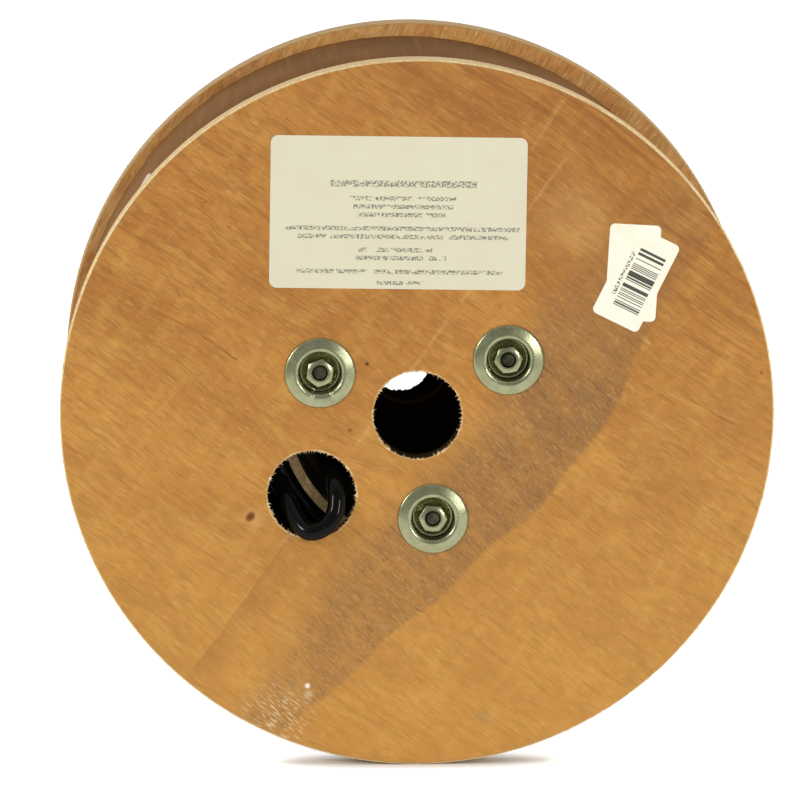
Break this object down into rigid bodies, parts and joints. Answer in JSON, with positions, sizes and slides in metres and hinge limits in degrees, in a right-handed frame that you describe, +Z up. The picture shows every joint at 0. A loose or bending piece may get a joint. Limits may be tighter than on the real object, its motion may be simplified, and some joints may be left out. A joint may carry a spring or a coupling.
{
  "type": "wooden cable drum",
  "caption": "Plywood drum wound full of black cable, with a board wrap and a bolted core tube; it stands or rolls on its flange rims and turns on a spindle through its bore.",
  "frame": {"origin": "on the spindle axis, halfway between the outer faces of the flanges", "axes": "+Y along the spindle axis from the front flange to the rear flange, +Z up as the drum stands on its rims, +X to the right seen from the front"},
  "size_m": [0.28, 0.1499, 0.28],
  "materials": {
    "plywood": "sanded face veneer, raw sawn edge",
    "kraft_board": "matte brown board",
    "cable_sheath": "smooth extruded sheath",
    "zinc_steel": "dull zinc plate",
    "label_paper": "satin coated paper"
  },
  "bodies": {
    "root": {"front_flange": "plywood", "rear_flange": "plywood", "core_tube": "kraft_board", "cable_winding": "cable_sheath", "inner_cable_end": "cable_sheath", "board_wrap": "kraft_board", "bolt_1": "zinc_steel", "bolt_2": "zinc_steel", "bolt_3": "zinc_steel", "nut_1": "zinc_steel", "nut_2": "zinc_steel", "nut_3": "zinc_steel", "front_washer_1": "zinc_steel", "front_washer_2": "zinc_steel", "front_washer_3": "zinc_steel", "rear_washer_1": "zinc_steel", "rear_washer_2": "zinc_steel", "rear_washer_3": "zinc_steel", "label": "label_paper", "lower_sticker": "label_paper", "upper_sticker": "label_paper"}
  },
  "joints": []
}
